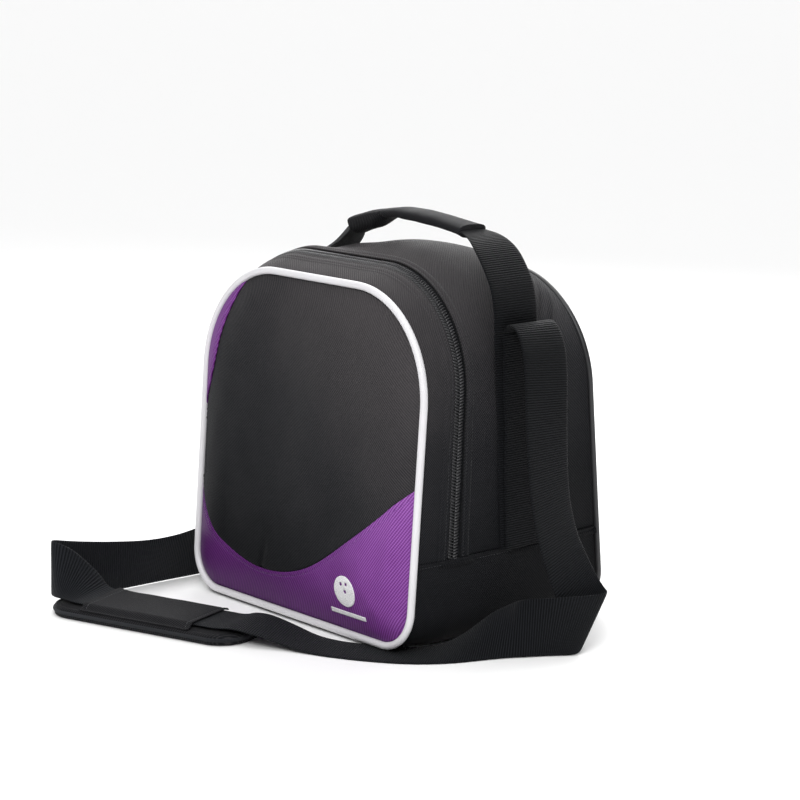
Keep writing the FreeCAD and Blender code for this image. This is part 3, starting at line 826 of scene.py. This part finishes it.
def base_outline(setback, inset, fine):
    """The lower outline with closely spaced points below the raised seam."""
    pairs = lower_outline(setback, inset, fine)
    close = [SEAM - d for d in (0.5, 1.0, 1.5, 2.0, 2.6, 3.2, 3.8, 4.5)]
    left = [(pairs[0][0], z) for z in close]
    right = [(pairs[-1][0], z) for z in reversed(close)]
    return pairs[:1] + left + pairs[1:-1] + right + pairs[-1:]


base = shell_sheet("base_fabric", base_outline, spread(PIPE + 0.3, REAR_END, 88), base_rise, 2.0, fine=2)
finish_piece(base, black_fabric, "bag", "black_fabric", "base_panel")


def outline_normals(line):
    steps = [step_at(line, i) for i in range(len(line))]
    return [Vector((step.z, 0, -step.x)).normalized() for step in steps]


for name, setback, rise_at, body in (
    ("gusset_front_stitches_inner", HEM_FRONT - 2.8, front_rise, "front_flap"),
    ("gusset_front_stitches_outer", HEM_FRONT - 9.5, front_rise, "front_flap"),
    ("gusset_rear_stitches_inner", HEM_REAR + 2.6, rear_rise, "bag"),
    ("gusset_rear_stitches_outer", HEM_REAR + 9.0, rear_rise, "bag"),
):
    row = shell_row(upper_outline, setback, rise_at)
    finish_piece(stitches(name, row, outline_normals(row), 0.22), black_thread, body, "black_fabric")

for side, name in ((-1, "base_seam_stitches_left"), (1, "base_seam_stitches_right")):
    row = []
    for setback in spread(PIPE + 2, REAR_END - 2, 160):
        half, height = outline_sizes(setback, 0.0)[0], SEAM - 3.6
        row.append(place(side * (half + base_rise(setback, side * half, height)), height, setback))
    normals = [Vector((side, 0, 0))] * len(row)
    finish_piece(stitches(name, row, normals, 0.24), black_thread, "bag", "black_fabric")

# ---- zipper


def sunk(depth):
    """A rise that puts a layer this far inside the outline."""
    return lambda setback, x, height: -depth


TAPE_DEPTH, TAPE_LAP = 1.4, 1.5
for name, start, end, body, node in (
    ("zipper_tape_front_cloth", HEM_FRONT - TAPE_LAP, ZIPPER - 0.9, "front_flap", "zipper_tape_front"),
    ("zipper_tape_rear_cloth", ZIPPER + 0.9, HEM_REAR + TAPE_LAP, "bag", "zipper_tape_rear"),
):
    tape = shell_sheet(name, upper_outline, spread(start, end, 5), sunk(TAPE_DEPTH), 0.8, fine=2)
    finish_piece(tape, zipper_tape, body, "zipper_tape", node)

# The coil: one tooth each pitch, sampled this often; the middle of each half lies COIL_OFFSET
# from the zipper's line, and its profile is (across, height) as shares of the reach.
COIL_PITCH, COIL_SAMPLES = 2.6, 8
COIL_OFFSET, COIL_REACH = 2.75, 2.65
COIL_PROFILE = ((-1.0, 0.0), (-0.92, 0.62), (-0.45, 0.95), (0.3, 1.0), (0.85, 0.78), (1.0, 0.25),
                (0.8, -0.1), (-0.6, -0.1))


def coil(name, side, body, node):
    """Half of a coil zipper; side is -1 in front of the zipper's line and 1 behind it."""
    line = shell_row(upper_outline, ZIPPER + side * COIL_OFFSET, sunk(TAPE_DEPTH), fine=10)
    normals = outline_normals(line)
    runs = lengths_along(line)
    steps = int(runs[-1] / COIL_PITCH) * COIL_SAMPLES
    points, uvs = [], []
    for i, (k, t, target) in enumerate(even_steps(runs, steps + 1)):
        centre = line[k].lerp(line[k + 1], t)
        normal = normals[k].lerp(normals[k + 1], t).normalized()
        along = (line[k + 1] - line[k]).normalized()
        across = normal.cross(along).normalized()
        if across.y > 0:
            across = -across
        tooth = abs(math.sin(math.pi * (i / COIL_SAMPLES + (0.5 if side > 0 else 0.0))))
        for w, h in COIL_PROFILE:
            shift = across * (-w * side * COIL_REACH * (0.9 + 0.1 * tooth))
            lift = normal * (0.25 + h * (0.5 + 2.0 * tooth))
            points.append(centre + shift + lift + along * (0.9 * w))
            uvs.append((target * MM, w * MM))
    faces = ring_faces(steps + 1, len(COIL_PROFILE), outwards=side > 0)
    finish_piece(new_piece(name, points, faces, uvs), coil_plastic, body, "zipper_coil", node)


coil("zipper_coil_front_teeth", -1, "front_flap", "zipper_coil_front")
coil("zipper_coil_rear_teeth", 1, "bag", "zipper_coil_rear")

# ---- webbing


def nurbs_line(points, samples):
    """The smooth line of the given control points, in millimetres."""
    curve = bpy.data.curves.new("route", "CURVE")
    curve.dimensions = "3D"
    spline = curve.splines.new("NURBS")
    spline.points.add(len(points) - 1)
    for target, point in zip(spline.points, points):
        target.co = (*point, 1)
    spline.order_u = 3
    spline.use_endpoint_u = True
    curve.resolution_u = samples
    holder = add_object("route", curve)
    mesh = bpy.data.meshes.new_from_object(holder)
    line = [v.co.copy() for v in mesh.vertices]
    bpy.data.objects.remove(holder)
    bpy.data.curves.remove(curve)
    bpy.data.meshes.remove(mesh)
    return line


WEB_THICK = 1.6
WEB_WIDE = 50.0
# Shares of the half width at which a strap's cross-section has points.
EDGE_STEPS = [-1.0, -0.97, -0.9, -0.72, -0.5, -0.25, 0.0, 0.25, 0.5, 0.72, 0.9, 0.97, 1.0]


def webbing_band(name, near, far, bow=None):
    """A closed woven strap between two edge lines; bow gives its cross-section a curve."""
    middles = [(a + b) * 0.5 for a, b in zip(near, far)]
    runs = lengths_along(middles)
    points, uvs = [], []
    for i, middle in enumerate(middles):
        across = (far[i] - near[i]) * 0.5
        normal = across.normalized().cross(step_at(middles, i).normalized()).normalized()
        for side, steps in ((1, EDGE_STEPS), (-1, EDGE_STEPS[-2:0:-1])):
            for w in steps:
                shape = math.sqrt(max(0.0, 1 - abs(w) ** 14))
                lift = side * WEB_THICK / 2 * shape + (bow(middle, w) if bow else 0.0)
                points.append(middle + across * w + normal * lift)
                uvs.append((runs[i] * MM, w * across.length * MM))
    faces = ring_faces(len(middles), 2 * len(EDGE_STEPS) - 2, outwards=False)
    return new_piece(name, points, faces, uvs)


def route_lines(route, samples, lift=0.0):
    """The near edge, far edge and middle line of a route, lifted by this much."""
    near, far = (
        nurbs_line([(row[k], row[k + 1], row[k + 2] + lift) for row in route], samples) for k in (0, 3)
    )
    return near, far, [(a + b) * 0.5 for a, b in zip(near, far)]


# The free strap from the right anchor round the front to the left one: near edge, then far edge.
STRAP_ROUTE = [
    (161.2, -17, 270.2, 161.2, 33, 270.2), (163.5, -17, 275, 163.5, 33, 275),
    (169, -18, 278, 169, 33, 277.5), (176, -18, 276, 176, 32, 275),
    (182, -18, 269, 183, 32, 266), (187, -18, 256, 188, 32, 252),
    (189.5, -18, 235, 190, 32, 230), (191, -18, 202, 190, 32, 199),
    (194, -18, 160, 191, 32, 160), (200, -18, 120, 194, 32, 126),
    (209, -16, 88, 203, 32, 98), (217, -10, 58, 214, 35, 77),
    (223, -1, 29, 224, 37, 61), (228, 7, 8, 231, 38, 53),
    (234, 9, 2, 238, 37, 50), (234, 2, 0, 239, 29, 50),
    (227, -9, 0, 231, 7, 50), (219, -20, 0, 219, -14, 50),
    (208, -38, 0, 201, -30, 48), (199, -53, 0, 187, -30, 41),
    (192, -70, 0, 172, -40, 31), (183, -92, 0, 161, -56, 15),
    (171, -110, 0, 149, -71.5, 5), (157, -125, 0, 133, -88.5, 1),
    (140, -138, 0, 115.5, -101.5, 0.2), (121, -150, 0, 95, -112.5, 0.2),
    (100, -161, 0, 75.5, -124, 0.3), (77, -171, 1, 51.5, -131.5, 1.5),
    (57, -181, 6, 29, -137, 7), (38, -194, 12, 12, -150.5, 15.5),
    (19, -201, 14, -3, -156, 15.5), (4, -207.5, 12, -12.5, -160.5, 12),
    (-12.6, -212.6, 12, -28, -165, 12), (-79.2, -234.2, 12, -94.6, -186.6, 12),
    (-141.9, -254.4, 12, -157.4, -206.8, 12), (-149, -256.5, 12.8, -161.5, -213.5, 26),
    (-156, -258.5, 13.2, -166, -228, 43), (-164, -260.5, 13.4, -169, -242, 56),
    (-171, -260, 13.2, -174, -252, 61), (-178, -257, 12.6, -180, -255, 62),
    (-185, -248, 11, -185, -248, 61), (-188, -230, 7, -186, -232, 57),
    (-190, -208, 3, -186, -212, 53), (-190, -182, 0, -183, -189, 49.5),
    (-189, -153, 0, -172, -155, 47), (-188, -122, 0, -171, -122, 47),
    (-186, -92, 0, -175, -95, 49), (-187, -62, 0, -180, -66, 49.5),
    (-191, -36, 0, -186, -38, 50), (-196, -14, 0, -194, -4, 50),
    (-200, 2, 0.5, -200, 30, 50), (-198, 6, 4, -199, 37, 52),
    (-193, 0, 28, -194, 37, 64), (-190, -9, 58, -191, 34, 82),
    (-188, -15, 90, -189, 32, 101), (-187.5, -18, 125, -188, 32, 129),
    (-187.5, -18, 165, -188, 32, 166), (-188, -18, 205, -188, 32, 204),
    (-187.5, -18, 236, -188, 32, 234), (-185, -18, 257, -186, 32, 255),
    (-181, -18, 269, -182, 32, 267), (-175, -18, 276, -175, 32, 275),
    (-169, -18, 278, -169, 33, 277.5), (-163.5, -17, 275, -163.5, 33, 275),
    (-161.2, -17, 270.2, -161.2, 33, 270.2),
]
strap_near, strap_far, strap_line = route_lines(STRAP_ROUTE, 14, WEB_THICK / 2)
strap_length = lengths_along(strap_line)[-1] * MM
strap = webbing_band("shoulder_strap_webbing", strap_near, strap_far)
finish_piece(strap, webbing, "bag", "black_webbing", "shoulder_strap")

ANCHOR = 270.0


def side_leg(name, side, y_low, y_high, lift, node):
    """Webbing sewn flat up a side from the base seam to the anchor; y_low and y_high are its middle."""
    near, far = [], []
    for height in spread(SEAM - 1, ANCHOR, 120):
        centre = y_low + (y_high - y_low) * (height - SEAM) / (ANCHOR - SEAM)
        for y, line in ((centre - WEB_WIDE / 2, near), (centre + WEB_WIDE / 2, far)):
            setback = y + HALF_DEPTH
            half = outline_sizes(setback, 0.0)[0]
            line.append(Vector((side * (half + rear_rise(setback, half, height) + lift), y, height)))
    finish_piece(webbing_band(name, near, far), webbing, "bag", "black_webbing", node)


for side, tag in ((1, "right"), (-1, "left")):
    side_leg(f"handle_leg_{tag}_webbing", side, 10, 0, 0.9, f"handle_leg_{tag}")
    side_leg(f"strap_leg_{tag}_webbing", side, 14, 8, 2.6, f"strap_leg_{tag}")

# The handle from right to left; up to the grip's end it is even: (x, half its width, height).
EVEN_HANDLE = [
    (159, 25, 270.6), (159, 25, 279), (158.5, 25, 290), (154.5, 25, 308), (146, 25, 323),
    (134, 24.5, 338), (120, 20, 347.5), (104, 14, 351), (90, 13, 353), (62, 13, 356.5),
    (35, 13, 358.5), (10, 13, 358.5), (-22, 13, 353.5), (-44, 13, 347),
]
# Near edge, then far edge; the left end sinks on to the crown.
HANDLE_ROUTE = [(x, -half, z, x, half, z) for x, half, z in EVEN_HANDLE] + [
    (-52, -12, 344, -52, 13, 344.5), (-66, -9, 336, -62, 20, 339),
    (-80, -6, 328, -76, 31, 332), (-98, -3, 317.5, -92, 41, 322),
    (-119, -7, 306, -106, 46, 313), (-139, -15, 296, -124, 42, 303),
    (-153, -22, 287, -141, 34, 294), (-159, -25, 279, -153, 28, 287),
    (-159, -25, 270.6, -159, 25, 270.6),
]
handle_near, handle_far, handle_line = route_lines(HANDLE_ROUTE, 12)


def handle_bow(p, w):
    """The near edge curls down where the webbing leaves the grip's left end."""
    reach = ease((-40 - p.x) / 14) * ease((p.x + 118) / 50)
    return -8.0 * reach * max(0.0, (-w - 0.45) / 0.55) ** 1.4


handle_band = webbing_band("handle_webbing_loop", handle_near, handle_far, handle_bow)
finish_piece(handle_band, webbing, "handle_bend", "black_webbing", "handle_webbing")

GRIP_RIGHT, GRIP_LEFT = 104.0, -49.0
GRIP_HALF_WIDE, GRIP_HALF_HIGH, GRIP_ROUND = 14.0, 5.2, 0.065


def grip_piece():
    """The fabric tube folded round the middle of the handle: flared, drooping and pinched."""
    inside = [p for p in handle_line if GRIP_LEFT <= p.x <= GRIP_RIGHT]
    count, sides = len(inside), 40
    points, uvs = [], []
    runs = lengths_along(inside)
    for i, p in enumerate(inside):
        up = Vector((0, 1, 0)).cross(step_at(inside, i).normalized()).normalized()
        if up.z < 0:
            up = -up
        flare = 1.5 * math.exp(-runs[i] / 7.0)
        droop = 6.2 * ease((-2 - p.x) / 24) - 1.4 * bell(p.x, 12, 11)
        for k, (c, s) in enumerate(circle(sides)):
            wide = (GRIP_HALF_WIDE + flare) * math.copysign(abs(c) ** 0.8, c)
            high = GRIP_HALF_HIGH + 0.6 * flare + (droop if s < 0 else 0.0)
            high *= math.copysign(abs(s) ** 0.75, s)
            high += 0.5 * smooth_noise(p.x, c * 9, s * 6, 16.0, 4.0)
            pinch = bell(p.x + 5 + 5 * s, 0, 2.6) * max(0.0, 0.55 - 0.6 * c - 0.3 * s)
            narrowed = 1 - 0.16 * pinch
            points.append(p + Vector((0, wide * narrowed, 0)) + up * high * narrowed)
            uvs.append((runs[i] * MM, k / sides * GRIP_ROUND))
    return new_piece("handle_grip_fabric", points, ring_faces(count, sides, outwards=False), uvs)


grip = grip_piece()
finish_piece(grip, pad_fabric, "handle", "black_fabric", "handle_grip")

# ---- shoulder pad

PAD_CENTRE, PAD_TURN = Vector((-79, -211, 0.3)), math.radians(18)
PAD_MATRIX = Matrix.Translation(PAD_CENTRE) @ Matrix.Rotation(PAD_TURN, 4, "Z")
PAD_LONG, PAD_WIDE = 207.0, 65.0
# From the middle of the underside round the edge to the middle of the top: (inset, height).
PAD_UNDER = [(31.0, 0.0), (14.0, 0.0), (4.0, 0.0), (1.2, 0.2), (0.2, 1.0), (0.0, 2.2)]
PAD_OVER = [(0.0, 4.0), (-0.3, 5.6), (0.0, 7.2), (0.9, 8.6), (2.4, 9.4), (4.2, 9.0), (5.2, 8.7),
            (6.4, 9.3), (9.0, 9.9), (14.0, 10.0), (22.0, 10.0), (31.0, 10.0)]


def pad_outline(inset, radius, count):
    """The pad's rounded outline in its own plane."""
    long, wide = PAD_LONG / 2 - inset - radius, PAD_WIDE / 2 - inset - radius
    pairs = arc(long, wide, radius, 0, 90, count) + arc(-long, wide, radius, 90, 180, count)
    pairs += arc(-long, -wide, radius, 180, 270, count) + arc(long, -wide, radius, 270, 360, count)
    return resample(pairs + pairs[:1], 4 * count + 1)[:-1]


def pad_piece():
    """A foam pad in fabric: rings that shrink towards the middle of its underside and top."""
    sides = 4 * 44
    points, uvs = [], []
    for inset, z in PAD_UNDER + PAD_OVER:
        for x, y in pad_outline(inset, max(27.0 - inset, 1.2), sides // 4):
            uneven = 0.5 * smooth_noise(x, y, 0, 26.0, 7.0) if z > 5 else 0.0
            points.append(PAD_MATRIX @ Vector((x, y, z + uneven)))
            uvs.append((x * MM, y * MM))
    faces = ring_faces(len(PAD_UNDER + PAD_OVER), sides)
    return new_piece("shoulder_pad_cushion", points, faces, uvs)


pad = pad_piece()
finish_piece(pad, pad_fabric, "shoulder_pad", "pad_fabric", "shoulder_pad")


binding_line = [PAD_MATRIX @ Vector((x, y, 5.0)) for x, y in pad_outline(0.6, 26.4, 60)]
binding = closed_cord("pad_binding_tape", binding_line, 1.9, 12)
finish_piece(binding, binding_tape, "shoulder_pad", "binding_tape", "pad_binding")

# The cover in the pad's own frame: its ends, the edges of its raised middle, and its height there.
SLEEVE_START, SLEEVE_END = -62.0, 57.0
SLEEVE_NEAR, SLEEVE_FAR, SLEEVE_HIGH = -22.5, 28.5, 14.9
SLEEVE_HALF_WIDE = 31.5


def sleeve_point(x, y):
    """The outside of the cover, raised over the strap and dipping at its stitches."""
    beside = max(SLEEVE_NEAR - y, y - SLEEVE_FAR)
    body = SLEEVE_HIGH - 4.4 * ease(beside / 6.5)
    ends = min(x - SLEEVE_START, SLEEVE_END - x)
    sag = 0.5 * smooth_noise(x, y, 0, 30.0, 2.0) * ease(ends / 12)
    turn_side = ease((y + 8) / 26) * (1 - ease((y - SLEEVE_FAR) / 3))
    lip = 0.3 * math.exp(-ends / 2.5) + 1.5 * turn_side * math.exp(-(x - SLEEVE_START) / 8.0)
    stitch_line = -0.35 * bell(ends, 5.0, 0.9) - 0.5 * bell(y, -29.0, 0.9)
    return PAD_MATRIX @ Vector((x, y, body + sag + lip + stitch_line))


def sleeve_piece():
    """The cover over the strap: sewn down along both long edges, open at both ends."""
    across = spread(-SLEEVE_HALF_WIDE, SLEEVE_HALF_WIDE, 44)
    along = spread(SLEEVE_START, SLEEVE_END, 70)
    grid = [[sleeve_point(x, y) for y in across] for x in along]
    uvs = [[(x * MM, y * MM) for y in across] for x in along]
    return thick_sheet("pad_sleeve_cover", grid, 0.9, uvs)


sleeve = sleeve_piece()
finish_piece(sleeve, pad_fabric, "shoulder_pad", "pad_fabric", "pad_sleeve")

pad_up = PAD_MATRIX.to_3x3() @ Vector((0, 0, 1))
for name, first, last in (
    ("sleeve_stitches_left", (SLEEVE_START + 5, -28), (SLEEVE_START + 5, 28)),
    ("sleeve_stitches_right", (SLEEVE_END - 5, -28), (SLEEVE_END - 5, 28)),
    ("sleeve_stitches_front", (SLEEVE_START + 3, -29), (SLEEVE_END - 3, -29)),
):
    row = [sleeve_point(x, y) for x, y in straight(*first, *last, 60) + [last]]
    finish_piece(stitches(name, row, [pad_up] * len(row), 0.24), black_thread, "shoulder_pad", "pad_fabric")

# ---- badge


BALL_X, BALL_HEIGHT, BALL_RINGS, BALL_SPOKES = 82, 48, 14, 64
FINGER_HOLES, HOLE_RADIUS = ((78, 54), (85, 55), (83, 48)), 1.9
LANE_X, LANE_HEIGHT, LANE_STEPS = 59, 25, 92
STITCH_RAISED, STITCH_SUNK = 0.75, 0.2


def badge_patches():
    """The four-cornered patches of a ball with three finger holes over a lane."""
    patches = []
    for ring in range(BALL_RINGS):
        for k in range(BALL_SPOKES):
            a0, a1 = 2 * math.pi * k / BALL_SPOKES, 2 * math.pi * (k + 1) / BALL_SPOKES
            corners = [(BALL_X + r * math.cos(a), BALL_HEIGHT + r * math.sin(a))
                       for r, a in ((ring, a0), (ring + 1, a0), (ring + 1, a1), (ring, a1))]
            middle_x, middle_z = sum(c[0] for c in corners) / 4, sum(c[1] for c in corners) / 4
            if all(math.hypot(middle_x - x, middle_z - z) >= HOLE_RADIUS for x, z in FINGER_HOLES):
                patches.append(corners)
    for i in range(LANE_STEPS):
        for j in range(4):
            x, z = LANE_X + i * 0.5, LANE_HEIGHT + j
            patches.append([(x, z), (x + 0.5, z), (x + 0.5, z + 1), (x, z + 1)])
    return patches


def badge_piece():
    """The badge in raised satin stitch, as one closed form."""
    mesh_points, faces, index = [], [], {}
    for corners in badge_patches():
        face = []
        for x, z in corners:
            key = (round(x, 3), round(z, 3))
            if key not in index:
                index[key] = len(mesh_points)
                mesh_points.append(key)
            if index[key] not in face:
                face.append(index[key])
        if len(face) > 2:
            faces.append(tuple(face))
    surface = [on_panel(x, z, lower_extra) for x, z in mesh_points]
    top = [p - Vector((0, STITCH_RAISED + 0.10 * math.sin(x * 9.0), 0))
           for p, (x, _) in zip(surface, mesh_points)]
    bottom = [p + Vector((0, STITCH_SUNK, 0)) for p in surface]
    count = len(top)
    edges = {(a, b): True for face in faces for a, b in zip(face, face[1:] + face[:1])}
    all_faces = faces + [tuple(i + count for i in face[::-1]) for face in faces]
    for a, b in edges:
        if (b, a) not in edges:
            all_faces.append((b, a, a + count, b + count))
    return new_piece("badge_embroidery", top + bottom, all_faces)


finish_piece(badge_piece(), white_thread, "bag", "white_thread", "embroidered_badge")

# ---- inside pieces


BINDING_DEPTH, BINDING_THICK = 3.6, 1.2
for name, first, body, node in (
    ("inside_binding_front", PIPE + 1, "front_flap", "front_binding"),
    ("inside_binding_rear", 2 * HALF_DEPTH - PIPE - 11, "bag", "rear_binding"),
):
    tape = shell_sheet(name, upper_outline, spread(first, first + 10, 6), sunk(BINDING_DEPTH),
                       BINDING_THICK, fine=1)
    finish_piece(tape, binding_tape, body, "binding_tape", node)


def cad_material(node, material):
    for slot in bpy.data.objects[node].material_slots:
        slot.material = material


cad_material("base_board", board_plastic)
cad_material("ball_cup", cup_foam)
cad_material("zipper_slider", enamel)
cad_material("zipper_pull", enamel)

# ---- floor, light and camera

FLOOR = 40.0  # metres from the middle to each side
floor_mesh = bpy.data.meshes.new("floor")
corners = [(-FLOOR, -FLOOR, 0), (FLOOR, -FLOOR, 0), (FLOOR, FLOOR, 0), (-FLOOR, FLOOR, 0)]
floor_mesh.from_pydata(corners, [], [(0, 1, 2, 3)])
floor = add_object("floor", floor_mesh)
floor.data.materials.append(node_material("pale_floor", (0.9, 0.9, 0.9), 0.8)[0])

bpy.context.scene.view_settings.view_transform = "Standard"
world = bpy.data.worlds.new("studio")
bpy.context.scene.world = world
world.use_nodes = True
sky = world.node_tree
direction = sky.nodes.new("ShaderNodeTexCoord").outputs["Generated"]
height = math_node(sky, "POWER", math_node(sky, "MAXIMUM", parts(sky, direction)[2], 0.0), 1.2)
strength = total(sky, times(sky, height, 0.25), 0.03)
# Two soft glows, one behind the bag and one in front of it: direction, tightness and power.
for aim_at, tightness, power in (((-0.75, 0.64, 0.16), 3.5, 2.0), ((0.45, -0.8, 0.4), 7.0, 0.6)):
    facing = add_node(sky, "VectorMath", {0: direction, 1: aim_at})
    facing.operation = "DOT_PRODUCT"
    lobe = math_node(sky, "MAXIMUM", facing.outputs["Value"], 0.0)
    strength = total(sky, strength, times(sky, math_node(sky, "POWER", lobe, tightness), power))
feed(sky, sky.nodes["Background"], {"Strength": strength, "Color": (1.0, 1.0, 1.0, 1)})


def point_along(thing, direction):
    thing.rotation_euler = direction.to_track_quat("-Z", "Y").to_euler()


sun = bpy.data.lights.new("soft_sun", "SUN")
sun.energy = 1.85
sun.angle = math.radians(70)
point_along(add_object("soft_sun", sun), Vector((-0.12, 0.2, -0.95)))


def area_light(name, location, target, size, watts):
    light = bpy.data.lights.new(name, "AREA")
    light.shape = "RECTANGLE"
    light.size, light.size_y = size
    light.energy = watts
    lamp = add_object(name, light)
    lamp.location = location
    point_along(lamp, Vector(target) - Vector(location))


area_light("key_light", (1.05, -1.25, 1.30), (0.06, -0.1, 0.2), (0.8, 0.6), 16)
area_light("back_light", (-0.5, 1.0, 1.3), (0.0, 0.0, 0.3), (1.8, 1.0), 24)

camera_data = bpy.data.cameras.new("camera")
camera_data.lens = 108.06
camera_data.sensor_width = 36.0
camera_data.clip_end = 50.0
camera = add_object("camera", camera_data)
camera.location = (1.6218, -1.3875, 0.6102)
point_along(camera, Vector((0.00809, 0.0, 0.188)) - camera.location)
bpy.context.scene.camera = camera
